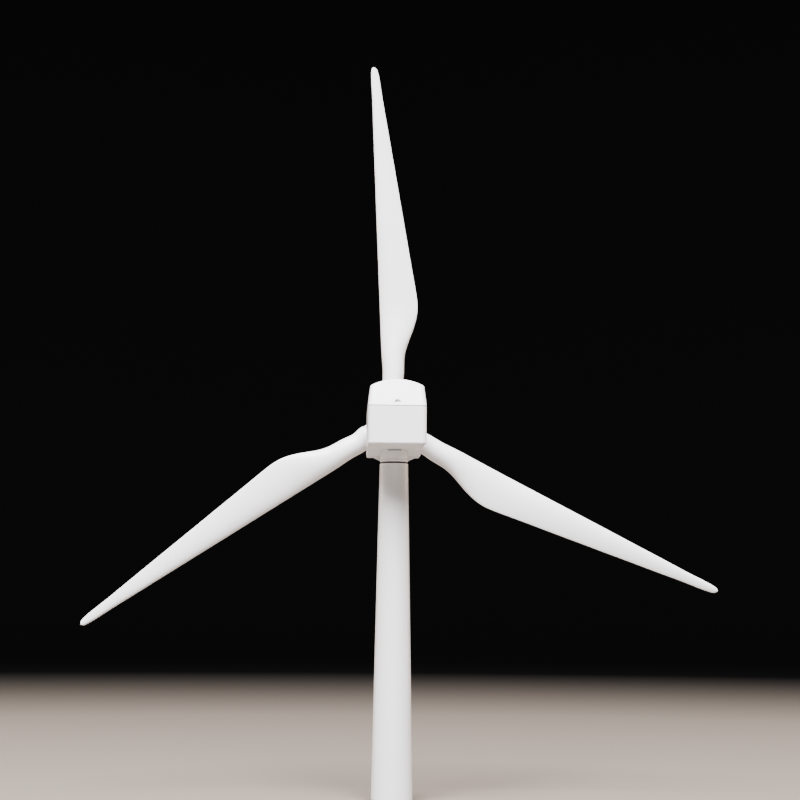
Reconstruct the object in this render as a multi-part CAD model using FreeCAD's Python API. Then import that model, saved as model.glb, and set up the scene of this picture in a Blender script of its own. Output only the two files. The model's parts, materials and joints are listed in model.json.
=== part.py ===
import FreeCAD, Part
import math
import os

# Tabletop wind turbine, millimetres. +Z up, origin at the centre of the tower's foot, rotor facing -Y.

os.makedirs("parts", exist_ok=True)
V = FreeCAD.Vector
X_AXIS = V(1, 0, 0)
Y_AXIS = V(0, 1, 0)
Z_AXIS = V(0, 0, 1)
EPS = 0.5                      # overshoot of a cutting tool past the face it opens

# ---- main dimensions -------------------------------------------------------------------------
HUB_Z = 171.2                  # height of the rotor axis
ROTOR_Y = -22.0                # plane of the blade roots
ROTOR_R = 170.0                # hub centre to blade tip
BLADE_END = 0.996 * ROTOR_R    # tip measured along the root's own axis
REST_TURN = -1.7               # turn of the first blade from upright, degrees about +Y

# tower
TOWER_TOP = HUB_Z - 19.9
TOWER_FOOT_R = 9.35
TOWER_TOP_R = 6.45
TOWER_WALL = 1.3
FOOT_ROUND = 1.6
PLUG_LEN = 8.0
PILOT_R = 0.9
PILOT_PCD = 11.0
PILOT_DEPTH = 6.0
PILOT_FIRST = 90.0
RIVET_X = 1.9
RIVET_HEAD_R = 1.2
RIVET_HEAD_H = 0.8
RIVET_R = 0.7
RIVET_TOP = 9.0

# yaw bearing between the tower head and the nacelle
SPIGOT_R = 2.75
SPIGOT_BORE_R = 1.4
SPIGOT_TOP = HUB_Z - 12.3
GROOVE_R = 2.0
CLIP_MID_Z = HUB_Z - 14.1
CLIP_T = 0.8
CLIP_SLOT_T = 1.0
CLIP_HALF_W = 3.0
CLIP_REAR = 4.4
CLIP_FRONT = -3.2
YAW_FIT = 0.1
WASHER_T = 0.6
WASHER_IN_R = 5.15
WASHER_OUT_R = 5.95
COLLAR_BASE = TOWER_TOP + 0.7
COLLAR_BAND_LOW = HUB_Z - 18.4
COLLAR_BAND_HIGH = HUB_Z - 17.6
COLLAR_BAND_DEPTH = 0.35
CHIN_HALF_W = 12.2
CHIN_FRONT = -14.0             # the chin hangs under the nacelle, ahead of the neck
CHIN_LOW_REAR = -2.0
CHIN_REAR = 3.0
CHIN_LOW = HUB_Z - 16.4
CHIN_ROUND = 0.8
FLARE_LOW = HUB_Z - 18.7
FLARE_FRONT = -10.5            # the flare from the neck out to the chin lies between these
COLLAR_SCREW_X = 8.6
COLLAR_SCREW_Y = -8.6
COLLAR_SCREW_LOW = HUB_Z - 15.0
STOP_IN_R = 3.4
STOP_OUT_R = 4.7
STOP_TOP = TOWER_TOP + 1.5
STOP_HALF_ANGLE = 5.0

# nacelle
BOX_HALF_W = 12.9              # at the rear; the sides draw in a little towards the rotor
BOX_FRONT_HALF_W = 12.2
BOX_IN_HALF_W = 10.9
BOX_FRONT = -14.0
BOX_REAR = 34.0
BOX_WALL = 1.6
BOX_BASE = HUB_Z - 13.6
SEAM_Z = HUB_Z + 3.4
SEAM_GAP = 0.25
CORNER_ROUND = 2.0
BASE_ROUND = 1.0
EAVE_HALF_W = 12.0
EAVE_FRONT_HALF_W = 11.3
EAVE_Z = HUB_Z + 12.4
CROWN_Z = HUB_Z + 15.5
ROOF_REAR = 30.0               # rear end of the roof, further forward than the seam
TONGUE_T = 0.8
TONGUE_DEPTH = 1.5
TONGUE_FIT = 0.1
NOTCH_R = 1.4
NOTCH_Z = SEAM_Z + 1.5
NOTCH_DEPTH = 1.9

# motor (flat-sided can, axis on the rotor axis)
CAN_R = 10.05
CAN_HALF_H = 7.55
CAN_FRONT = -12.2
CAN_REAR = 7.9
CAP_REAR = 12.9
CAN_WALL = 0.8
BOSS_R = 3.05
BOSS_FRONT = -13.8
BUSH_R = 2.2
SHAFT_R = 1.0
SHAFT_FIT = 0.04
SHAFT_FRONT = -26.5
SHAFT_REAR = 14.0
CORE_R = 6.3
CORE_FRONT = -8.0
CORE_REAR = 4.0
COIL_R = 5.6
COIL_OVERHANG = 1.4
POCKET_R = 1.8                 # round pockets between the poles
POCKET_AT = 3.8
MAGNET_IN_R = 6.7
COMM_R = 2.4
COMM_FRONT = 6.3
COMM_REAR = 9.8
BRUSH_GAP = 0.06
BRUSH_T = 0.25
ARM_FRONT = 8.2
ARM_REAR = 9.6
ARM_HALF_H = 1.6
ARM_TOP = 5.8
TAB_T = 0.4
TAB_FRONT = 8.3
TAB_OUT = 2.6                  # how far the terminals stand out of the end cap
TAB_LOW = 4.2
TAB_HIGH = 6.2
CAP_WALL = 1.6
CAP_FLOOR = 2.0
MAGNET_FRONT = -9.0
MAGNET_REAR = 5.0
MAGNET_GAP_HALF_W = 3.0
MAGNET_HALF_H = 6.4
LEAD_R = 0.4
LEAD_BEND = 1.2

# hub
HUB_R = 9.3
HUB_FRONT = -29.0
HUB_REAR = -16.6
PLATE_REAR = -15.0
BOSS_OUT = 9.7                 # flat faces that the blade rings sit on
BOSS_SEAT_R = 5.6
SOCKET_R = 3.5
SOCKET_IN = 5.4
NOSE_LEN = 11.0
NOSE_WALL = 1.8
NOSE_TONGUE_R = 7.8
NOSE_TONGUE_T = 0.9
NOSE_TONGUE_LEN = 1.8
INSERT_R = 3.0
SCREW_CIRCLE_R = 6.8
SCREW_R = 0.75
SCREW_HEAD_R = 1.4
SCREW_HEAD_H = 0.8
SCREW_LEN = 8.0
CROSS_ARM = 0.9
CROSS_HALF_T = 0.15
CROSS_DEPTH = 0.4

# blade, chord measured along X from the root axis: leading edge positive, trailing edge negative
ROOT_R = 4.9
ROOT_SHIFT = 0.3               # centre of the round root, ahead of the blade's own axis
RING_R = 5.5
RING_END = 11.9
ROUND_END = 0.135 * ROTOR_R    # end of the plain round root
LEAD_START = 0.0346            # leading edge offset and slope, in rotor radii
LEAD_SLOPE = 0.0733
LEAD_FROM = 0.16
TRAIL_PEAK = 0.0546            # trailing edge offset at its widest station
TRAIL_SLOPE = 0.2077
TRAIL_FROM = 0.356
TRAIL_RISE_FROM = 0.18
TWIST_ROOT = 9.0
TWIST_TIP = 2.8
THICK_MAX_CHORD = 3.6
THICK_TIP = 1.1
CAMBER = 0.03
EDGE_T = 0.3
TIP_ROUND_FROM = 0.983


# ---- helpers ---------------------------------------------------------------------------------
def save(shape, node):
    """Write one sub-part."""
    shape.exportStep("parts/" + node + ".step")


def box(x0, x1, y0, y1, z0, z1):
    """Box between two corners."""
    return Part.makeBox(x1 - x0, y1 - y0, z1 - z0, V(x0, y0, z0))


def post(radius, z0, z1, x=0.0, y=0.0):
    """Upright cylinder."""
    return Part.makeCylinder(radius, z1 - z0, V(x, y, z0), Z_AXIS)


def pipe_z(outer, inner, z0, z1, x=0.0, y=0.0):
    """Upright ring."""
    return post(outer, z0, z1, x, y).cut(post(inner, z0 - EPS, z1 + EPS, x, y))


def disc(radius, y0, y1, x=0.0, z=HUB_Z):
    """Cylinder along the rotor axis."""
    return Part.makeCylinder(radius, y1 - y0, V(x, y0, z), Y_AXIS)


def ring_y(outer, inner, y0, y1):
    """Ring about the rotor axis."""
    return disc(outer, y0, y1).cut(disc(inner, y0 - EPS, y1 + EPS))


def spin(shape, angle):
    """Copy of a shape turned about the rotor axis, positive about +Y."""
    turned = shape.copy()
    turned.rotate(V(0, 0, HUB_Z), Y_AXIS, angle)
    return turned


def cross_slot(top, out):
    """Cutting tool for a cross recess in a screw head; out is Z_AXIS or Y_AXIS."""
    bar = Part.makeBox(2 * CROSS_ARM, 2 * CROSS_HALF_T, CROSS_DEPTH + EPS,
                       V(-CROSS_ARM, -CROSS_HALF_T, -CROSS_DEPTH))
    cross = bar.copy()
    cross.rotate(V(0, 0, 0), Z_AXIS, 90)
    tool = bar.fuse(cross)
    if out is Y_AXIS:
        tool.rotate(V(0, 0, 0), X_AXIS, -90)
    tool.translate(top)
    return tool


def smooth(value, low, high):
    """Smooth step from 0 at low to 1 at high."""
    t = min(max((value - low) / (high - low), 0.0), 1.0)
    return t * t * (3.0 - 2.0 * t)


def sector(inner, outer, z0, z1, middle, half_angle):
    """Piece of an upright ring, middle and half_angle in degrees."""
    face = Part.makeCylinder(outer, z1 - z0, V(0, 0, z0), Z_AXIS, 2.0 * half_angle)
    face.rotate(V(0, 0, 0), Z_AXIS, middle - half_angle)
    return face.cut(post(inner, z0 - EPS, z1 + EPS))


def lead(points, radius=LEAD_R, bend=LEAD_BEND):
    """Round lead along straight runs joined by tangent arcs."""
    edges = []
    start = points[0]
    for before, corner, after in zip(points, points[1:], points[2:]):
        into = (corner - before).normalize()
        out = (after - corner).normalize()
        half = into.getAngle(out) / 2.0
        step = bend * math.tan(half)
        first = corner - into * step
        last = corner + out * step
        inward = (out - into).normalize()
        middle = corner + inward * (bend / math.cos(half) - bend)
        edges.append(Part.makeLine(start, first))
        edges.append(Part.Arc(first, middle, last).toShape())
        start = last
    edges.append(Part.makeLine(start, points[-1]))
    path = Part.Wire(edges)
    ring = Part.Wire([Part.makeCircle(radius, points[0], points[1] - points[0])])
    return path.makePipeShell([ring], True, True)


# ---- tower -----------------------------------------------------------------------------------
def tower_radius(z):
    """Outside radius of the tower at a height."""
    return TOWER_FOOT_R + (TOWER_TOP_R - TOWER_FOOT_R) * z / TOWER_TOP


def tower_core(z0, z1):
    """The tapered space inside the tower between two heights."""
    low = tower_radius(z0) - TOWER_WALL
    high = tower_radius(z1) - TOWER_WALL
    return Part.makeCone(low, high, z1 - z0, V(0, 0, z0), Z_AXIS)


def rim_edges(shape, z, radius):
    """Circular edges of a shape at one height and radius."""
    found = []
    for edge in shape.Edges:
        if hasattr(edge.Curve, "Radius") and abs(edge.CenterOfMass.z - z) < 0.01:
            if abs(edge.Curve.Radius - radius) < 0.01:
                found.append(edge)
    return found


def make_tower_tube():
    """Tapered hollow tower with a rounded bottom edge."""
    outer = Part.makeCone(TOWER_FOOT_R, TOWER_TOP_R, TOWER_TOP)
    outer = outer.makeFillet(FOOT_ROUND, rim_edges(outer, 0.0, TOWER_FOOT_R))
    outer = outer.makeFillet(0.25, rim_edges(outer, TOWER_TOP, TOWER_TOP_R))
    return outer.cut(tower_core(0.0, TOWER_TOP))


def make_tower_head():
    """Plug in the tower's top with the hollow yaw spigot and the turning stop."""
    head = tower_core(TOWER_TOP - PLUG_LEN, TOWER_TOP)
    head = head.fuse(post(SPIGOT_R, TOWER_TOP, SPIGOT_TOP))
    head = head.fuse(sector(STOP_IN_R, STOP_OUT_R, TOWER_TOP, STOP_TOP, 90.0, STOP_HALF_ANGLE))
    groove = pipe_z(SPIGOT_R + EPS, GROOVE_R, CLIP_MID_Z - CLIP_SLOT_T / 2, CLIP_MID_Z + CLIP_SLOT_T / 2)
    head = head.cut(groove)
    bore = post(SPIGOT_BORE_R, TOWER_TOP - PLUG_LEN - EPS, SPIGOT_TOP + EPS)
    return head.cut(bore).removeSplitter()


def pilot_places():
    """Centres of the three pilot holes in the foot."""
    places = []
    for index in range(3):
        angle = math.radians(PILOT_FIRST + 120.0 * index)
        places.append((PILOT_PCD / 2 * math.cos(angle), PILOT_PCD / 2 * math.sin(angle)))
    return places


def rivet(x):
    """Flush contact rivet through the foot plug."""
    head = post(RIVET_HEAD_R, 0.0, RIVET_HEAD_H, x)
    return head.fuse(post(RIVET_R, RIVET_HEAD_H, RIVET_TOP, x)).removeSplitter()


def make_foot_plug():
    """Plug that closes the tower's foot, with pilot holes for the screws that hold it down."""
    plug = tower_core(0.0, PLUG_LEN)
    for x, y in pilot_places():
        plug = plug.cut(post(PILOT_R, -EPS, PILOT_DEPTH, x, y))
    for x in (-RIVET_X, RIVET_X):
        plug = plug.cut(rivet(x))
    return plug


save(make_tower_tube(), "tower_tube")
save(make_tower_head(), "tower_head")
save(make_foot_plug(), "foot_plug")
save(Part.makeCompound([rivet(-RIVET_X), rivet(RIVET_X)]), "contact_rivets")
save(pipe_z(WASHER_OUT_R, WASHER_IN_R, TOWER_TOP, TOWER_TOP + WASHER_T), "yaw_washer")

# ---- slip contacts on the yaw axis -----------------------------------------------------------
SLIP_TOP = HUB_Z - 8.1
SLIP_R = 2.1
SLIP_BORE_R = 1.3
SLIP_RING_R = 2.4
SLIP_RING_H = 0.9
SLIP_Z_LOW = HUB_Z - 11.0
SLIP_Z_HIGH = HUB_Z - 9.2
BORE_LEAD_X = 0.55
WIPER_GAP = 0.05
WIPER_T = 0.25
WIPER_REAR = 10.2
BLOCK_FRONT = 5.6
BLOCK_REAR = 9.0
FLOOR_Z = BOX_BASE + BOX_WALL


def slip_ring(z, side):
    """Brass ring with a tab that reaches in to its lead."""
    ring = pipe_z(SLIP_RING_R, SLIP_R, z - SLIP_RING_H / 2, z + SLIP_RING_H / 2)
    x0, x1 = sorted((side * (BORE_LEAD_X + LEAD_R), side * (SLIP_R + 0.1)))
    tab = box(x0, x1, -0.3, 0.3, z - 0.3, z + 0.3)
    return ring.fuse(tab).removeSplitter()


def make_slip_core(rings):
    """Insulating sleeve on the spigot that carries both rings."""
    core = pipe_z(SLIP_R, SLIP_BORE_R, SPIGOT_TOP, SLIP_TOP)
    for ring in rings:
        core = core.cut(ring)
    return core


def tower_lead(side, top):
    """Lead from a contact rivet up the tower and the spigot to its slip ring."""
    low = 12.0
    high = TOWER_TOP - PLUG_LEN - 6.0
    gather = TOWER_TOP - PLUG_LEN - 1.5
    points = [V(side * RIVET_X, 0, RIVET_TOP), V(side * RIVET_X, 0, high)]
    points.append(V(side * BORE_LEAD_X, 0, gather))
    points.append(V(side * BORE_LEAD_X, 0, top))
    assert low < high
    return lead(points)


ring_low = slip_ring(SLIP_Z_LOW, -1)
ring_high = slip_ring(SLIP_Z_HIGH, 1)
save(make_slip_core([ring_low, ring_high]), "slip_core")
save(ring_low, "slip_ring_lower")
save(ring_high, "slip_ring_upper")
save(tower_lead(-1, SLIP_Z_LOW + 0.4), "tower_lead_black")
save(tower_lead(1, SLIP_Z_HIGH + 0.4), "tower_lead_red")


def wiper(side, z):
    """Leaf spring that rubs on a slip ring."""
    near = SLIP_RING_R + WIPER_GAP
    x0, x1 = sorted((side * near, side * (near + WIPER_T)))
    return box(x0, x1, -1.2, WIPER_REAR, z - 0.35, z + 0.35)


def make_wiper_block(wipers):
    """Insulating block on the nacelle floor that holds the two leaf springs."""
    block = box(-4.6, 4.6, BLOCK_FRONT, BLOCK_REAR, FLOOR_Z, SLIP_TOP)
    for leaf in wipers:
        block = block.cut(leaf)
    return block


wiper_low = wiper(-1, SLIP_Z_LOW)
wiper_high = wiper(1, SLIP_Z_HIGH)
save(wiper_low, "wiper_black")
save(wiper_high, "wiper_red")
save(make_wiper_block([wiper_low, wiper_high]), "wiper_block")


# ---- yaw collar ------------------------------------------------------------------------------
def collar_screw(x):
    """Small screw from the nacelle floor down into the collar's chin."""
    y = COLLAR_SCREW_Y
    top = FLOOR_Z + SCREW_HEAD_H
    head = post(SCREW_HEAD_R, FLOOR_Z, top, x, y)
    shank = post(SCREW_R, COLLAR_SCREW_LOW, FLOOR_Z, x, y)
    return head.cut(cross_slot(V(x, y, top), Z_AXIS)).fuse(shank).removeSplitter()


def make_chin():
    """Wedge under the nacelle's front, deepest at the rotor end, with rounded lower edges."""
    side = [(CHIN_REAR, BOX_BASE), (CHIN_FRONT, BOX_BASE)]
    side += [(CHIN_FRONT, CHIN_LOW), (CHIN_LOW_REAR, CHIN_LOW)]
    corners = [V(-CHIN_HALF_W, y, z) for y, z in side + side[:1]]
    chin = Part.Face(Part.makePolygon(corners)).extrude(V(2 * CHIN_HALF_W, 0, 0))
    low = [edge for edge in chin.Edges if abs(edge.CenterOfMass.z - CHIN_LOW) < 0.01
           and (abs(edge.CenterOfMass.x) > 1.0 or edge.CenterOfMass.y < CHIN_FRONT + 0.1)]
    return chin.makeFillet(CHIN_ROUND, low)


def make_flare():
    """Part of a cone that runs from the neck out to the chin, ahead of the turning axis."""
    wide = CHIN_HALF_W - CHIN_ROUND
    flare = Part.makeCone(TOWER_TOP_R, wide, CHIN_LOW - FLARE_LOW, V(0, 0, FLARE_LOW))
    return flare.common(box(-wide, wide, FLARE_FRONT, CHIN_LOW_REAR, FLARE_LOW, CHIN_LOW))


def make_yaw_collar():
    """Neck that turns on the tower head, with its chin and the slot for the retaining clip."""
    neck_r = TOWER_TOP_R
    band_r = neck_r - COLLAR_BAND_DEPTH
    points = [V(0, 0, COLLAR_BASE), V(neck_r - 0.3, 0, COLLAR_BASE), V(neck_r, 0, COLLAR_BASE + 0.3),
              V(neck_r, 0, COLLAR_BAND_LOW), V(band_r, 0, COLLAR_BAND_LOW + 0.2),
              V(band_r, 0, COLLAR_BAND_HIGH - 0.2), V(neck_r, 0, COLLAR_BAND_HIGH),
              V(neck_r, 0, BOX_BASE), V(0, 0, BOX_BASE), V(0, 0, COLLAR_BASE)]
    collar = Part.Face(Part.makePolygon(points)).revolve(V(0, 0, 0), Z_AXIS, 360)
    collar = collar.fuse([make_chin(), make_flare()])
    track = pipe_z(STOP_OUT_R + 0.2, STOP_IN_R - 0.2, COLLAR_BASE - EPS, STOP_TOP + 0.3)
    rib = sector(STOP_IN_R - 0.4, STOP_OUT_R + 0.4, COLLAR_BASE, STOP_TOP + 0.4, -90.0, STOP_HALF_ANGLE)
    collar = collar.cut(track.cut(rib))
    collar = collar.cut(post(SPIGOT_R + YAW_FIT, COLLAR_BASE - EPS, BOX_BASE + EPS))
    slot = box(-CLIP_HALF_W - 0.1, CLIP_HALF_W + 0.1, CLIP_FRONT - 0.2, TOWER_TOP_R + EPS,
               CLIP_MID_Z - CLIP_SLOT_T / 2, BOX_BASE + EPS)
    collar = collar.cut(slot)
    for x in (-COLLAR_SCREW_X, COLLAR_SCREW_X):
        collar = collar.cut(collar_screw(x))
    return collar.removeSplitter()


def make_retaining_clip():
    """U-shaped clip that runs in the spigot's groove."""
    clip = box(-CLIP_HALF_W, CLIP_HALF_W, CLIP_FRONT, CLIP_REAR,
               CLIP_MID_Z - CLIP_T / 2, CLIP_MID_Z + CLIP_T / 2)
    hold = GROOVE_R + YAW_FIT
    clip = clip.cut(post(hold, CLIP_MID_Z - CLIP_T, CLIP_MID_Z + CLIP_T))
    return clip.cut(box(-hold, hold, CLIP_FRONT - EPS, 0, CLIP_MID_Z - CLIP_T, CLIP_MID_Z + CLIP_T))


save(make_yaw_collar(), "yaw_collar")
save(make_retaining_clip(), "retaining_clip")
save(Part.makeCompound([collar_screw(-COLLAR_SCREW_X), collar_screw(COLLAR_SCREW_X)]), "collar_screws")


# ---- motor -----------------------------------------------------------------------------------
def can_profile(grow, y0, y1):
    """Flat-sided motor outline, grown outwards by an amount."""
    flat = CAN_HALF_H + grow
    return disc(CAN_R + grow, y0, y1).common(
        box(-CAN_R - grow, CAN_R + grow, y0, y1, HUB_Z - flat, HUB_Z + flat))


def make_motor_can():
    """Drawn steel can with the front bearing boss."""
    can = can_profile(0.0, CAN_FRONT, CAN_REAR)
    can = can.cut(can_profile(-CAN_WALL, CAN_FRONT + CAN_WALL, CAN_REAR + EPS))
    can = can.fuse(disc(BOSS_R, BOSS_FRONT, CAN_FRONT + CAN_WALL))
    return can.cut(disc(BUSH_R, BOSS_FRONT - EPS, CAN_FRONT + 2 * CAN_WALL)).removeSplitter()


def bush(y0, y1):
    """Plain bearing for the shaft."""
    return ring_y(BUSH_R, SHAFT_R + SHAFT_FIT, y0, y1)


def terminal(side):
    """Contact tab from a brush arm out through the end cap."""
    near = COMM_R + BRUSH_GAP + BRUSH_T
    x0, x1 = sorted((side * near, side * (near + TAB_T)))
    return box(x0, x1, TAB_FRONT, CAP_REAR + TAB_OUT, HUB_Z + TAB_LOW, HUB_Z + TAB_HIGH)


def brush_arm(side):
    """Leaf spring that presses on the commutator."""
    near = COMM_R + BRUSH_GAP
    x0, x1 = sorted((side * near, side * (near + BRUSH_T)))
    return box(x0, x1, ARM_FRONT, ARM_REAR, HUB_Z - ARM_HALF_H, HUB_Z + ARM_TOP)


def make_end_cap():
    """Moulded cap that closes the motor and carries the rear bearing."""
    cap = can_profile(0.0, CAN_REAR, CAP_REAR)
    cap = cap.cut(can_profile(-CAP_WALL, CAN_REAR - EPS, CAP_REAR - CAP_FLOOR))
    cap = cap.cut(disc(BUSH_R, CAN_REAR, CAP_REAR + EPS))
    for side in (-1, 1):
        cap = cap.cut(terminal(side))
    return cap


def magnet(side):
    """Curved magnet inside the can."""
    shell = ring_y(CAN_R - CAN_WALL, MAGNET_IN_R, MAGNET_FRONT, MAGNET_REAR)
    x0, x1 = sorted((side * MAGNET_GAP_HALF_W, side * CAN_R))
    low = HUB_Z - MAGNET_HALF_H
    high = HUB_Z + MAGNET_HALF_H
    return shell.common(box(x0, x1, MAGNET_FRONT, MAGNET_REAR, low, high))


def make_armature_core():
    """Three-pole laminated core on the shaft."""
    core = disc(CORE_R, CORE_FRONT, CORE_REAR)
    for index in range(3):
        opening = box(-0.8, 0.8, CORE_FRONT - EPS, CORE_REAR + EPS, HUB_Z + POCKET_AT, HUB_Z + CORE_R + EPS)
        pocket = disc(POCKET_R, CORE_FRONT - EPS, CORE_REAR + EPS, 0.0, HUB_Z + POCKET_AT)
        core = core.cut(spin(opening.fuse(pocket), 60.0 + 120.0 * index))
    return core.cut(disc(SHAFT_R, CORE_FRONT - EPS, CORE_REAR + EPS))


def make_commutator():
    """Three-segment commutator on its sleeve."""
    sleeve = ring_y(COMM_R, SHAFT_R, COMM_FRONT, COMM_REAR)
    for index in range(3):
        slit = box(-0.15, 0.15, COMM_FRONT - EPS, COMM_REAR + EPS, HUB_Z + 1.6, HUB_Z + COMM_R + EPS)
        sleeve = sleeve.cut(spin(slit, 120.0 * index))
    return sleeve


core = make_armature_core()
coils = disc(COIL_R, CORE_FRONT - COIL_OVERHANG, CORE_REAR + COIL_OVERHANG)
coils = coils.cut(core).cut(disc(SHAFT_R, CORE_FRONT - 3, CORE_REAR + 3))
save(make_motor_can(), "motor_can")
save(bush(BOSS_FRONT, CAN_FRONT + CAN_WALL), "motor_front_bush")
save(make_end_cap(), "motor_end_cap")
save(bush(CAP_REAR - CAP_FLOOR, CAP_REAR), "motor_rear_bush")
save(magnet(-1), "motor_magnet_left")
save(magnet(1), "motor_magnet_right")
save(brush_arm(-1), "brush_arm_left")
save(brush_arm(1), "brush_arm_right")
save(terminal(-1), "terminal_left")
save(terminal(1), "terminal_right")
save(disc(SHAFT_R, SHAFT_FRONT, SHAFT_REAR), "motor_shaft")
save(core, "armature_core")
save(coils, "armature_windings")
save(make_commutator(), "commutator")


# ---- motor mounting and nacelle wiring -------------------------------------------------------
CRADLE_FRONT = -10.4
CRADLE_REAR = 5.0
CRADLE_TOP = HUB_Z - 1.0
CRADLE_HALF_W = 10.7
RAIL_IN = 6.4
CLIP_BAND_T = 0.4
CLIP_BAND_FRONT = -5.0
CLIP_BAND_REAR = -1.0
CLIP_BAND_LOW = HUB_Z - 5.5


def make_motor_clip():
    """Spring band that holds the can down in its cradle."""
    band = can_profile(CLIP_BAND_T, CLIP_BAND_FRONT, CLIP_BAND_REAR)
    band = band.cut(can_profile(0.0, CLIP_BAND_FRONT - EPS, CLIP_BAND_REAR + EPS))
    return band.cut(box(-20, 20, CLIP_BAND_FRONT - EPS, CLIP_BAND_REAR + EPS, BOX_BASE, CLIP_BAND_LOW))


def make_cradle(band):
    """Saddle on the nacelle floor: two rails joined by a cross bar at the front."""
    rails = box(-CRADLE_HALF_W, CRADLE_HALF_W, CRADLE_FRONT, CRADLE_REAR, FLOOR_Z, CRADLE_TOP)
    rails = rails.cut(box(-RAIL_IN, RAIL_IN, CRADLE_FRONT + 4.0, CRADLE_REAR + EPS, FLOOR_Z - EPS, HUB_Z))
    rails = rails.cut(can_profile(0.0, CRADLE_FRONT - EPS, CRADLE_REAR + EPS))
    for x in (-COLLAR_SCREW_X, COLLAR_SCREW_X):
        rails = rails.cut(post(SCREW_HEAD_R + 0.15, FLOOR_Z - EPS, FLOOR_Z + SCREW_HEAD_H + 0.2,
                               x, COLLAR_SCREW_Y))
    return rails.cut(band)


def nacelle_lead(side, z):
    """Lead from a leaf spring to its motor terminal, with a loop behind the motor."""
    x_low = side * (SLIP_RING_R + WIPER_GAP + WIPER_T + LEAD_R)
    x_out = side * 7.0
    x_tab = side * (COMM_R + BRUSH_GAP + BRUSH_T + TAB_T + LEAD_R)
    back = 19.0
    top = HUB_Z + 5.2
    points = [V(x_low, WIPER_REAR - 0.8, z), V(x_low, back - 3.0, z), V(x_out, back, z)]
    points.append(V(x_out, back, top))
    points.append(V(x_tab, back, top))
    points.append(V(x_tab, CAP_REAR + 0.8, top))
    return lead(points)


def make_capacitor():
    """Disc capacitor soldered across the motor terminals."""
    near = COMM_R + BRUSH_GAP + BRUSH_T
    y = CAP_REAR + 1.7
    body = Part.makeCylinder(2.2, 1.4, V(0, y - 0.7, HUB_Z + 5.2), Y_AXIS)
    legs = Part.makeCylinder(0.25, 2 * near, V(-near, y, HUB_Z + 5.2), X_AXIS)
    return body.fuse(legs).removeSplitter()


band = make_motor_clip()
save(band, "motor_clip")
save(make_cradle(band), "motor_cradle")
save(nacelle_lead(-1, SLIP_Z_LOW), "nacelle_lead_black")
save(nacelle_lead(1, SLIP_Z_HIGH), "nacelle_lead_red")
save(make_capacitor(), "suppressor_capacitor")


# ---- nacelle housing and cover ---------------------------------------------------------------
def side_edges(shape, low, high):
    """The four steep edges of a box-like shape whose middles lie between two heights."""
    found = []
    for edge in shape.Edges:
        middle = edge.CenterOfMass
        tangent = edge.tangentAt(edge.FirstParameter)
        if low < middle.z < high and abs(tangent.z) > 0.7 and abs(middle.x) > EAVE_FRONT_HALF_W - 1.0:
            found.append(edge)
    return found


def plan_outline(z, y0, y1):
    """Plan of the nacelle's outside at a height, narrower at the rotor end."""
    corners = [V(-BOX_FRONT_HALF_W, y0, z), V(BOX_FRONT_HALF_W, y0, z),
               V(BOX_HALF_W, y1, z), V(-BOX_HALF_W, y1, z), V(-BOX_FRONT_HALF_W, y0, z)]
    return Part.Face(Part.makePolygon(corners))


def make_lower_housing():
    """Open-topped tray that carries the motor and turns on the tower."""
    tray = plan_outline(BOX_BASE, BOX_FRONT, BOX_REAR).extrude(V(0, 0, SEAM_Z - BOX_BASE))
    tray = tray.makeFillet(CORNER_ROUND, side_edges(tray, BOX_BASE, SEAM_Z))
    base = [edge for edge in tray.Edges if abs(edge.CenterOfMass.z - BOX_BASE) < 0.01]
    tray = tray.makeFillet(BASE_ROUND, base)
    inside = box(-BOX_IN_HALF_W, BOX_IN_HALF_W, BOX_FRONT + BOX_WALL, BOX_REAR - BOX_WALL,
                 FLOOR_Z, SEAM_Z + EPS)
    tray = tray.cut(inside)
    boss_way = disc(BOSS_R + 0.1, BOX_FRONT - EPS, BOX_FRONT + BOX_WALL + EPS)
    boss_way = boss_way.fuse(box(-BOSS_R - 0.1, BOSS_R + 0.1, BOX_FRONT - EPS,
                                 BOX_FRONT + BOX_WALL + EPS, HUB_Z, SEAM_Z + EPS))
    tray = tray.cut(boss_way)
    tray = tray.cut(post(SPIGOT_R + YAW_FIT, BOX_BASE - EPS, FLOOR_Z + EPS))
    for x in (-COLLAR_SCREW_X, COLLAR_SCREW_X):
        tray = tray.cut(collar_screw(x))
    return tray.removeSplitter()


def cover_wire(y, seam_half_w, eave_half_w, drop):
    """Arched section of the cover at a station; drop lowers the eaves and the crown."""
    low = SEAM_Z + SEAM_GAP
    low_left = V(-seam_half_w, y, low)
    low_right = V(seam_half_w, y, low)
    eave_left = V(-eave_half_w, y, EAVE_Z - 0.6 * drop)
    eave_right = V(eave_half_w, y, EAVE_Z - 0.6 * drop)
    edges = [Part.makeLine(low_left, low_right), Part.makeLine(low_right, eave_right)]
    edges.append(Part.Arc(eave_right, V(0, y, CROWN_Z - drop), eave_left).toShape())
    edges.append(Part.makeLine(eave_left, low_left))
    return Part.Wire(edges)


def trim_rear(solid, inset):
    """Cut the forward-leaning rear face."""
    high = CROWN_Z + 2.0
    seam_z = SEAM_Z + SEAM_GAP
    lean = (BOX_REAR - ROOF_REAR) / (CROWN_Z - SEAM_Z)
    rear = BOX_REAR - inset * math.hypot(1.0, lean)
    wedge = Part.makePolygon([V(-20, rear, seam_z), V(-20, rear - lean * (high - seam_z), high),
                              V(-20, BOX_REAR + 5, high), V(-20, BOX_REAR + 5, seam_z),
                              V(-20, rear, seam_z)])
    return solid.cut(Part.Face(wedge).extrude(V(40, 0, 0)))


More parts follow.
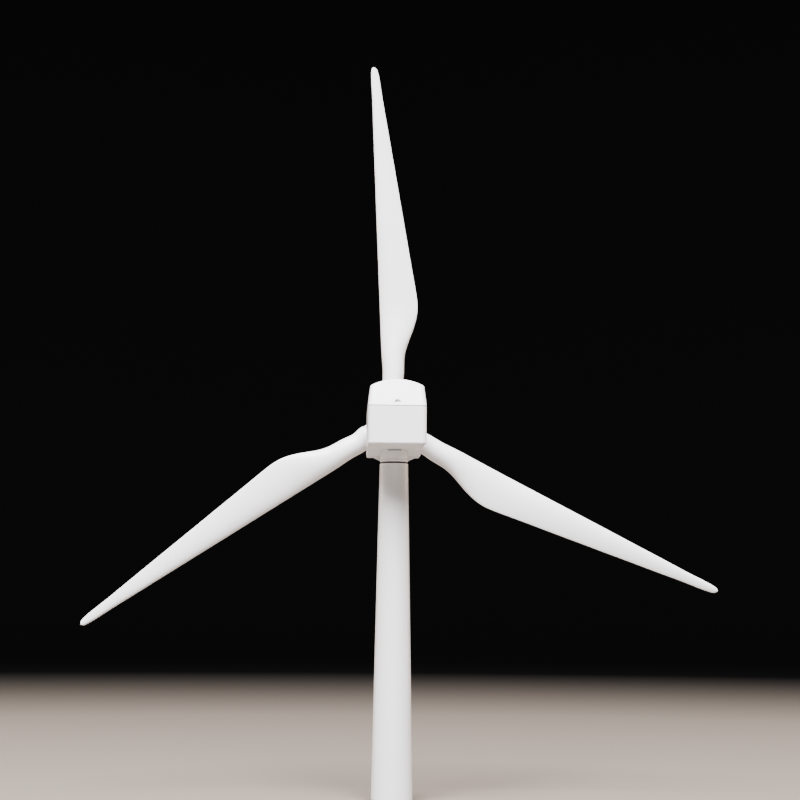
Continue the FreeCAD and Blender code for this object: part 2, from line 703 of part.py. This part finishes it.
def finger_notch():
    """Half-round recess with a flat lower edge in the rear face, for lifting the cover."""
    front = BOX_REAR - NOTCH_DEPTH
    rear = BOX_REAR + NOTCH_DEPTH
    recess = Part.makeCylinder(NOTCH_R, rear - front, V(0, front, NOTCH_Z), Y_AXIS)
    return recess.cut(box(-2 * NOTCH_R, 2 * NOTCH_R, front - EPS, rear + EPS, SEAM_Z, NOTCH_Z))


def make_top_cover():
    """Lift-off cover: thin shell with a tongue that drops inside the tray."""
    ends = [cover_wire(BOX_FRONT, BOX_FRONT_HALF_W, EAVE_FRONT_HALF_W, 0.0),
            cover_wire(BOX_REAR, BOX_HALF_W, EAVE_HALF_W, 0.0)]
    outer = trim_rear(Part.makeLoft(ends, True, True), 0.0)
    outer = outer.makeFillet(CORNER_ROUND - 0.1, side_edges(outer, SEAM_Z + 1.0, EAVE_Z))
    roof = [edge for edge in outer.Edges if edge.CenterOfMass.z > EAVE_Z - 0.3]
    outer = outer.makeFillet(0.7, roof)
    inner = cover_wire(BOX_FRONT + BOX_WALL, BOX_IN_HALF_W, EAVE_FRONT_HALF_W - BOX_WALL, BOX_WALL)
    cavity = trim_rear(Part.Face(inner).extrude(V(0, BOX_REAR - BOX_FRONT - 2 * BOX_WALL, 0)), BOX_WALL)
    mouth = box(-BOX_IN_HALF_W, BOX_IN_HALF_W, BOX_FRONT + BOX_WALL, BOX_REAR - 2 * BOX_WALL,
                SEAM_Z - EPS, SEAM_Z + 0.6)
    shell = outer.cut(cavity.fuse(mouth))
    reach_x = BOX_IN_HALF_W - TONGUE_FIT
    front = CAP_REAR + 1.0
    rear = BOX_REAR - BOX_WALL - TONGUE_FIT
    low = SEAM_Z - TONGUE_DEPTH
    high = SEAM_Z + 1.4
    tongue = box(-reach_x, reach_x, front, rear, low, high)
    tongue = tongue.cut(box(-reach_x + TONGUE_T, reach_x - TONGUE_T, front - EPS, rear - TONGUE_T,
                            low - EPS, high + EPS))
    shell = shell.fuse(tongue)
    return shell.cut(finger_notch()).removeSplitter()


save(make_lower_housing(), "lower_housing")
save(make_top_cover(), "top_cover")


# ---- hub -------------------------------------------------------------------------------------
def radial(radius, r0, r1):
    """Cylinder along the first blade's axis, upright before the rest turn."""
    return post(radius, HUB_Z + r0, HUB_Z + r1, 0.0, ROTOR_Y)


def blade_turn(index):
    """Turn of one blade about the rotor axis."""
    return REST_TURN + 120.0 * index


def screw_blank():
    """Blade screw before its cross slot is cut, also the tool that opens its hole."""
    z = HUB_Z + SCREW_CIRCLE_R
    head = disc(SCREW_HEAD_R, PLATE_REAR - SCREW_HEAD_H, PLATE_REAR, 0.0, z)
    shank = disc(SCREW_R, PLATE_REAR - SCREW_LEN, PLATE_REAR - SCREW_HEAD_H, 0.0, z)
    return head.fuse(shank).removeSplitter()


def blade_screw():
    """Screw from the back plate through the hub into the blade spigot."""
    slot = cross_slot(V(0, PLATE_REAR, HUB_Z + SCREW_CIRCLE_R), Y_AXIS)
    return screw_blank().cut(slot)


def make_hub_body(blanks):
    """Barrel with a socket for each blade."""
    hub = disc(HUB_R, HUB_FRONT, HUB_REAR)
    seat = radial(BOSS_SEAT_R, SOCKET_IN, BOSS_OUT)
    seat = seat.common(box(-HUB_R, HUB_R, HUB_FRONT, HUB_REAR, HUB_Z, HUB_Z + 2 * HUB_R))
    for index in range(3):
        hub = hub.fuse(spin(seat, blade_turn(index)))
    hub = hub.cut(disc(NOSE_TONGUE_R, HUB_FRONT - EPS, HUB_FRONT + NOSE_TONGUE_LEN + 0.1))
    hub = hub.cut(disc(INSERT_R, HUB_FRONT - EPS, HUB_REAR + EPS))
    for index in range(3):
        hub = hub.cut(spin(radial(SOCKET_R, SOCKET_IN, BOSS_OUT + EPS), blade_turn(index)))
    for blank in blanks:
        hub = hub.cut(blank)
    return hub.removeSplitter()


def make_back_plate(blanks):
    """Disc that closes the hub's back."""
    plate = disc(HUB_R - 0.3, HUB_REAR, PLATE_REAR)
    plate = plate.makeFillet(0.5, [edge for edge in plate.Edges
                                   if abs(edge.CenterOfMass.y - PLATE_REAR) < 0.01])
    plate = plate.cut(disc(INSERT_R, HUB_REAR - EPS, PLATE_REAR + EPS))
    for blank in blanks:
        plate = plate.cut(blank)
    return plate


def nose_half(radius, length):
    """Half outline of the nose, turned into a solid about the rotor axis."""
    lift = V(0, HUB_FRONT, HUB_Z)
    curve = Part.Ellipse(V(0, -length, 0) + lift, V(0, 0, radius) + lift, lift)
    arc = Part.ArcOfEllipse(curve, 0.0, math.pi / 2.0).toShape()
    ends = [vertex.Point for vertex in arc.Vertexes]
    outline = Part.Wire([arc, Part.makeLine(ends[-1], lift), Part.makeLine(lift, ends[0])])
    return Part.Face(outline).revolve(lift, Y_AXIS, 360)


def make_nose():
    """Domed spinner, thin, with a tongue that presses into the hub."""
    nose = nose_half(HUB_R, NOSE_LEN).cut(nose_half(HUB_R - NOSE_WALL, NOSE_LEN - NOSE_WALL))
    tongue = ring_y(NOSE_TONGUE_R, NOSE_TONGUE_R - NOSE_TONGUE_T, HUB_FRONT - 0.6,
                    HUB_FRONT + NOSE_TONGUE_LEN)
    return nose.fuse(tongue).removeSplitter()


# ---- blades ----------------------------------------------------------------------------------
def chord_ends(r):
    """Leading and trailing edge offsets at a radius, leading edge positive."""
    f = r / ROTOR_R
    lead_line = (LEAD_START + LEAD_SLOPE * (f - LEAD_FROM)) * ROTOR_R
    root_front = ROOT_R + ROOT_SHIFT
    root_rear = ROOT_R - ROOT_SHIFT
    front = root_front + (lead_line - root_front) * smooth(f, 0.10, 0.20)
    trail_line = (TRAIL_PEAK - TRAIL_SLOPE * (f - TRAIL_FROM)) * ROTOR_R
    rear = root_rear + (trail_line - root_rear) * smooth(f, TRAIL_RISE_FROM, TRAIL_FROM)
    if f > TIP_ROUND_FROM:
        t = (r - TIP_ROUND_FROM * ROTOR_R) / (BLADE_END - TIP_ROUND_FROM * ROTOR_R)
        shrink = math.sqrt(max(1.0 - 0.96 * t * t, 0.0))
        middle = (front - rear) / 2.0
        half = (front + rear) / 2.0 * shrink
        return middle + half, middle - half
    return front, -rear


def blade_section(r, count=14):
    """Closed outline at a radius: round at the root, cambered and twisted further out."""
    front, rear = chord_ends(r)
    chord = front - rear
    middle = (front + rear) / 2.0
    f = r / ROTOR_R
    form = smooth(f, 0.135, TRAIL_FROM)
    thinning = smooth(f, 0.25, 1.15) / smooth(1.0, 0.25, 1.15)
    thick = THICK_MAX_CHORD + (THICK_TIP - THICK_MAX_CHORD) * thinning
    twist = math.radians(TWIST_ROOT + (TWIST_TIP - TWIST_ROOT) * smooth(f, 0.15, 1.0))
    points = []
    for index in range(2 * count):
        phase = math.pi * index / count
        x = (1.0 - math.cos(phase)) / 2.0
        side = 1.0 if index < count else -1.0
        naca = 0.2969 * math.sqrt(x) - 0.1260 * x - 0.3516 * x ** 2 + 0.2843 * x ** 3 - 0.1036 * x ** 4
        foil = side * naca * 10.0 * thick / 2.0
        foil += side * EDGE_T * math.sqrt(abs(math.sin(phase)))
        foil += CAMBER * chord * 4.0 * x * (1.0 - x)
        round_y = ROOT_R * math.sin(phase)
        across = middle + chord / 2.0 - chord * x
        away = form * foil + (1.0 - form) * round_y
        dx = across - middle
        points.append(V(middle + dx * math.cos(twist) + away * math.sin(twist),
                        ROTOR_Y - dx * math.sin(twist) + away * math.cos(twist),
                        HUB_Z + r))
    curve = Part.BSplineCurve()
    curve.interpolate(Points=points, PeriodicFlag=True)
    return Part.Wire([curve.toShape()])


def make_blade(blank):
    """Blade with its round root, ring and spigot, upright before the rest turn."""
    stations = [RING_END - 1.0, (RING_END + ROUND_END) / 2.0, ROUND_END]
    steps = 9
    for index in range(1, steps + 1):
        stations.append(ROUND_END + (TRAIL_FROM * ROTOR_R - ROUND_END) * index / steps)
    outer_steps = 9
    last = TIP_ROUND_FROM * ROTOR_R
    for index in range(1, outer_steps + 1):
        stations.append(TRAIL_FROM * ROTOR_R + (last - TRAIL_FROM * ROTOR_R) * index / outer_steps)
    for part in (0.4, 0.7, 0.9, 1.0):
        stations.append(last + (BLADE_END - last) * part)
    foil = Part.makeLoft([blade_section(r) for r in stations], True, False)
    ring = radial(RING_R, BOSS_OUT + 0.05, RING_END)
    outer_rim = [edge for edge in ring.Edges if abs(edge.CenterOfMass.z - HUB_Z - RING_END) < 0.01]
    ring = ring.makeFillet(0.5, outer_rim)
    spigot = radial(SOCKET_R - 0.02, SOCKET_IN + 0.1, BOSS_OUT + 0.05)
    blade = foil.fuse([ring, spigot])
    return blade.cut(blank)


screws = [spin(blade_screw(), blade_turn(index)) for index in range(3)]
blanks = [spin(screw_blank(), blade_turn(index)) for index in range(3)]
blade = make_blade(screw_blank())
for index in range(3):
    save(spin(blade, blade_turn(index)), "blade_" + str(index + 1))
save(make_hub_body(blanks), "hub_body")
save(make_back_plate(blanks), "hub_back_plate")
save(make_nose(), "spinner_nose")
save(Part.makeCompound(screws), "blade_screws")
save(ring_y(INSERT_R, SHAFT_R, HUB_FRONT + NOSE_TONGUE_LEN + 0.4, PLATE_REAR), "hub_insert")
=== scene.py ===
import json
import math

import bpy
from mathutils import Matrix, Vector

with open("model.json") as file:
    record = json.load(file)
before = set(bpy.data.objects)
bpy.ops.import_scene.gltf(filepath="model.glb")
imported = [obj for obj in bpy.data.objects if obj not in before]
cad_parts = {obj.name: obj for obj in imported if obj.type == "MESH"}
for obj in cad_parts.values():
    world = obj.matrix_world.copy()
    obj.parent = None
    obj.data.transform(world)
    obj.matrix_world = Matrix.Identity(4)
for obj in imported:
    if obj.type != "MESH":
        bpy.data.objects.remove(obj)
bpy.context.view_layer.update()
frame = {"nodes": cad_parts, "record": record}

# ---- sizes in metres, camera angles in degrees, aim offsets in radians -------------------------
HUB = Vector((0.0, -0.022, 0.1712))
ROTOR_R = 0.170
CAM_AZ = 177.62
CAM_EL = -5.1
CAM_DIST = 5.5 * ROTOR_R
CAM_ROLL = 0.384
YAW_OFF = 0.0038
PITCH_OFF = 0.0122
SENSOR = 36.0
LENS = 90.34
CLIP_NEAR = 0.01
CLIP_FAR = 20.0

# where most of a noise's values lie, used as the two ends of a ramp or spread
NOISE_BAND = (0.3, 0.7)
WIDE_BAND = (0.25, 0.75)

# moulded plastic: noise scales per metre, bump depths in metres and bump strengths
MOTTLE_SCALE = 22.0
CLOUD_SCALE = 90.0
GRAIN_SCALE = 2600.0
GRAIN_DEPTH = 0.00002
GRAIN_STRENGTH = 0.25
FLOW_SCALE = 60.0
FLOW_STRETCH = (1.0, 1.0, 0.35)
FLOW_DEPTH = 0.0002
FLOW_STRENGTH = 0.06
PLASTIC_SMOOTHER = 0.05
PLASTIC_ROUGHER = 0.07

# metal: tarnish and drawn lines, and the three ways that the lines may run
TARNISH_SCALE = 60.0
LINE_SCALE = 400.0
LINE_DEPTH = 0.00003
LINE_STRENGTH = 0.3
METAL_SMOOTHER = 0.08
METAL_ROUGHER = 0.1
DRAWN = (1.0, 1.0, 12.0)
WOUND = (1.0, 9.0, 1.0)
EVEN = (1.0, 1.0, 1.0)

# floor: flat disc, curved rise and wall; its colour is a painted pool of light, pale around the
# foot and dark towards the wall
FLAT_R = 2.2
RISE = 0.9
WALL_TOP = 2.6
RISE_STEPS = 10
TURNS = 96
FLOOR_PALE = (0.25, 0.22, 0.195)
BACKDROP = (0.012, 0.012, 0.013)
# radii of the painted pool of light: pale inside the first, backdrop dark beyond the second
FLOOR_PALE_R = 0.7
FLOOR_DARK_R = 1.7
FLOOR_ROUGH = 0.9
FLOOR_SPECULAR = 0.1

# lights: name, place, target, size, watts, colour
NEUTRAL = (1.0, 0.995, 1.0)
COOL = (0.97, 0.98, 1.0)
WARM = (1.0, 0.72, 0.52)
LIGHTS = [
    ("key", (0.12, 0.86, 1.42), (0.0, 0.0, 0.16), 1.0, 92.0, NEUTRAL),
    ("sky", (0.0, -0.1, 1.7), (0.0, 0.0, 0.1), 1.4, 8.0, COOL),
    ("rim_left", (1.2, -0.55, 0.5), (0.0, 0.0, 0.17), 0.7, 6.0, WARM),
    ("rim_right", (-1.2, -0.55, 0.5), (0.0, 0.0, 0.17), 0.7, 6.0, WARM),
    ("fill", (0.3, 1.5, 0.25), (0.0, 0.0, 0.06), 0.9, 2.0, COOL),
]
WORLD_COLOUR = (0.9, 0.93, 1.0, 1.0)
WORLD_STRENGTH = 0.04


# ---- camera ------------------------------------------------------------------------------------
def level_axes(look):
    """Right and up directions of a level camera that looks along a direction."""
    right = look.cross(Vector((0, 0, 1))).normalized()
    return right, right.cross(look)


def aim(az, el, dist, yaw_off, pitch_off, roll):
    """Camera matrix that looks at the hub, then turned a little by the two offsets and the roll."""
    a = math.radians(az)
    e = math.radians(el)
    back = Vector((math.sin(a) * math.cos(e), -math.cos(a) * math.cos(e), math.sin(e)))
    right, up = level_axes(-back)
    look = (-back + right * yaw_off + up * pitch_off).normalized()
    right, up = level_axes(look)
    c = math.cos(math.radians(roll))
    s = math.sin(math.radians(roll))
    side = right * c + up * s
    top = up * c - right * s
    matrix = Matrix((side, top, -look)).transposed().to_4x4()
    matrix.translation = HUB + back * dist
    return matrix


camera = bpy.data.objects.new("camera", bpy.data.cameras.new("camera"))
bpy.context.collection.objects.link(camera)
camera.data.sensor_width = SENSOR
camera.data.lens = LENS
camera.data.clip_start = CLIP_NEAR
camera.data.clip_end = CLIP_FAR
camera.matrix_world = aim(CAM_AZ, CAM_EL, CAM_DIST, YAW_OFF, PITCH_OFF, CAM_ROLL)
bpy.context.scene.camera = camera


# ---- material helpers --------------------------------------------------------------------------
def new_material(name):
    """Node material with its tree and its principled shader."""
    material = bpy.data.materials.new(name)
    material.use_nodes = True
    tree = material.node_tree
    shader = tree.nodes["Principled BSDF"]
    return material, tree, shader


def node(tree, kind, **values):
    """New node with some of its properties or inputs set by name."""
    made = tree.nodes.new(kind)
    for name, value in values.items():
        key = name.replace("_", " ")
        if key in made.inputs:
            made.inputs[key].default_value = value
        else:
            setattr(made, name, value)
    return made


def noise(tree, scale, detail=4.0, rough=0.55, stretch=EVEN):
    """Noise over the object's own coordinates, in metres."""
    coords = node(tree, "ShaderNodeTexCoord")
    mapping = node(tree, "ShaderNodeMapping", Scale=stretch)
    tree.links.new(coords.outputs["Object"], mapping.inputs["Vector"])
    made = node(tree, "ShaderNodeTexNoise", Scale=scale, Detail=detail, Roughness=rough)
    tree.links.new(mapping.outputs["Vector"], made.inputs["Vector"])
    return made.outputs["Fac"]


def ramp(tree, source, first, last, band):
    """Colour that goes from first to last as source crosses the band."""
    made = node(tree, "ShaderNodeValToRGB")
    for element, position, colour in zip(made.color_ramp.elements, band, (first, last)):
        element.position = position
        element.color = (*colour, 1.0)
    tree.links.new(source, made.inputs["Fac"])
    return made.outputs["Color"]


def spread(tree, source, low, high, band):
    """Number that goes from low to high as source crosses the band."""
    made = node(tree, "ShaderNodeMapRange", To_Min=low, To_Max=high)
    made.inputs["From Min"].default_value, made.inputs["From Max"].default_value = band
    tree.links.new(source, made.inputs["Value"])
    return made.outputs["Result"]


def bump(tree, shader, layers):
    """Stack of bumps, each (height source, distance in metres, strength)."""
    previous = None
    for source, distance, strength in layers:
        made = node(tree, "ShaderNodeBump", Strength=strength, Distance=distance)
        tree.links.new(source, made.inputs["Height"])
        if previous is not None:
            tree.links.new(previous, made.inputs["Normal"])
        previous = made.outputs["Normal"]
    tree.links.new(previous, shader.inputs["Normal"])


def darker(colour, shade):
    """The colour with a share of it taken away."""
    return tuple(c * (1.0 - shade) for c in colour)


def moulded(name, colour, shade, rough):
    """Moulded plastic: slight mottling, soft flow marks and a very fine mould grain."""
    material, tree, shader = new_material(name)
    mottle = noise(tree, MOTTLE_SCALE, detail=3.0)
    tint = ramp(tree, mottle, darker(colour, shade), colour, NOISE_BAND)
    tree.links.new(tint, shader.inputs["Base Color"])
    cloud = noise(tree, CLOUD_SCALE, detail=5.0)
    gloss = spread(tree, cloud, rough - PLASTIC_SMOOTHER, rough + PLASTIC_ROUGHER, NOISE_BAND)
    tree.links.new(gloss, shader.inputs["Roughness"])
    grain = noise(tree, GRAIN_SCALE, detail=2.0)
    flow = noise(tree, FLOW_SCALE, detail=2.0, rough=0.5, stretch=FLOW_STRETCH)
    bump(tree, shader, [(flow, FLOW_DEPTH, FLOW_STRENGTH), (grain, GRAIN_DEPTH, GRAIN_STRENGTH)])
    return material


def metal(name, colour, rough, scale=LINE_SCALE, stretch=DRAWN, shade=0.15):
    """Metal with drawn or turned lines and slight tarnish."""
    material, tree, shader = new_material(name)
    lines = noise(tree, scale, rough=0.6, stretch=stretch)
    tarnish = noise(tree, TARNISH_SCALE)
    tint = ramp(tree, tarnish, darker(colour, shade), colour, WIDE_BAND)
    tree.links.new(tint, shader.inputs["Base Color"])
    gloss = spread(tree, lines, rough - METAL_SMOOTHER, rough + METAL_ROUGHER, NOISE_BAND)
    tree.links.new(gloss, shader.inputs["Roughness"])
    bump(tree, shader, [(lines, LINE_DEPTH, LINE_STRENGTH)])
    shader.inputs["Metallic"].default_value = 1.0
    return material


# ---- materials, one for each slot in the record ------------------------------------------------
MATERIALS = {
    "white_plastic": moulded("white_plastic", (0.85, 0.855, 0.875), 0.03, 0.34),
    "dark_plastic": moulded("dark_plastic", (0.035, 0.035, 0.038), 0.3, 0.5),
    "cap_nylon": moulded("cap_nylon", (0.72, 0.70, 0.64), 0.08, 0.45),
    "capacitor": moulded("capacitor", (0.62, 0.30, 0.07), 0.15, 0.35),
    "red_insulation": moulded("red_insulation", (0.50, 0.025, 0.02), 0.15, 0.42),
    "black_insulation": moulded("black_insulation", (0.02, 0.02, 0.02), 0.3, 0.42),
    "brass": metal("brass", (0.80, 0.58, 0.24), 0.3),
    "bright_steel": metal("bright_steel", (0.66, 0.67, 0.69), 0.22),
    "can_steel": metal("can_steel", (0.52, 0.53, 0.55), 0.34),
    "sintered_bronze": metal("sintered_bronze", (0.42, 0.27, 0.13), 0.5, 1500.0, EVEN, 0.35),
    "magnet": metal("magnet", (0.06, 0.06, 0.065), 0.65, 1200.0, EVEN, 0.3),
    "copper_wire": metal("copper_wire", (0.55, 0.19, 0.07), 0.32, 900.0, WOUND, 0.25),
    "copper_bar": metal("copper_bar", (0.72, 0.35, 0.20), 0.28),
}
node_slots = {entry["node"]: entry["material_slot"] for entry in frame["record"]["subparts"]}
for name, piece in frame["nodes"].items():
    finish = MATERIALS[node_slots[name]]
    if not piece.data.materials:
        piece.data.materials.append(finish)
    for slot in piece.material_slots:
        slot.material = finish


# ---- floor and backdrop ------------------------------------------------------------------------
def sweep_profile():
    """Radius and height of each ring of the floor, from the flat's edge to the wall's top."""
    rings = [(FLAT_R, 0.0)]
    for index in range(1, RISE_STEPS + 1):
        angle = math.pi / 2 * index / RISE_STEPS
        rings.append((FLAT_R + RISE * math.sin(angle), RISE - RISE * math.cos(angle)))
    rings.append((FLAT_R + RISE, WALL_TOP))
    return rings


def make_sweep():
    """Round pale floor that curves up into a plain wall."""
    rings = sweep_profile()
    verts = [(0.0, 0.0, 0.0)]
    for radius, height in rings:
        for index in range(TURNS):
            angle = 2 * math.pi * index / TURNS
            verts.append((radius * math.cos(angle), radius * math.sin(angle), height))
    faces = []
    for index in range(TURNS):
        faces.append((0, 1 + index, 1 + (index + 1) % TURNS))
    for ring in range(len(rings) - 1):
        base = 1 + ring * TURNS
        for index in range(TURNS):
            after = (index + 1) % TURNS
            faces.append((base + index, base + TURNS + index, base + TURNS + after, base + after))
    mesh = bpy.data.meshes.new("floor")
    mesh.from_pydata(verts, [], faces)
    mesh.update()
    for polygon in mesh.polygons:
        polygon.use_smooth = True
    sweep = bpy.data.objects.new("floor", mesh)
    bpy.context.collection.objects.link(sweep)
    return sweep


def painted_pool_floor():
    """Matt floor whose colour is a painted pool of light, pale around the foot and going outwards
    to the backdrop's dark.
    """
    material, tree, shader = new_material("floor")
    place = node(tree, "ShaderNodeTexCoord")
    reach = node(tree, "ShaderNodeVectorMath", operation="LENGTH")
    tree.links.new(place.outputs["Object"], reach.inputs[0])
    # painted pool of light: the floor colour goes from pale to dark with distance from the foot
    painted_pool_falloff = spread(tree, reach.outputs["Value"], 0.0, 1.0, (FLOOR_PALE_R, FLOOR_DARK_R))
    tint = ramp(tree, painted_pool_falloff, FLOOR_PALE, BACKDROP, (0.0, 1.0))
    tree.links.new(tint, shader.inputs["Base Color"])
    shader.inputs["Roughness"].default_value = FLOOR_ROUGH
    shader.inputs["Specular IOR Level"].default_value = FLOOR_SPECULAR
    return material


floor = make_sweep()
floor.data.materials.append(painted_pool_floor())


# ---- lights, world and colour view -------------------------------------------------------------
def area_light(name, place, target, size, power, colour):
    """Soft square light aimed at a point."""
    light = bpy.data.lights.new(name, "AREA")
    light.shape = "SQUARE"
    light.size = size
    light.energy = power
    light.color = colour
    holder = bpy.data.objects.new(name, light)
    holder.location = place
    holder.rotation_euler = (Vector(target) - Vector(place)).to_track_quat("-Z", "Y").to_euler()
    bpy.context.collection.objects.link(holder)


for row in LIGHTS:
    area_light(*row)
world = bpy.data.worlds.new("world")
world.use_nodes = True
background = world.node_tree.nodes["Background"]
background.inputs["Color"].default_value = WORLD_COLOUR
background.inputs["Strength"].default_value = WORLD_STRENGTH
bpy.context.scene.world = world
bpy.context.scene.view_settings.view_transform = "AgX"
bpy.context.scene.view_settings.look = "AgX - Medium High Contrast"
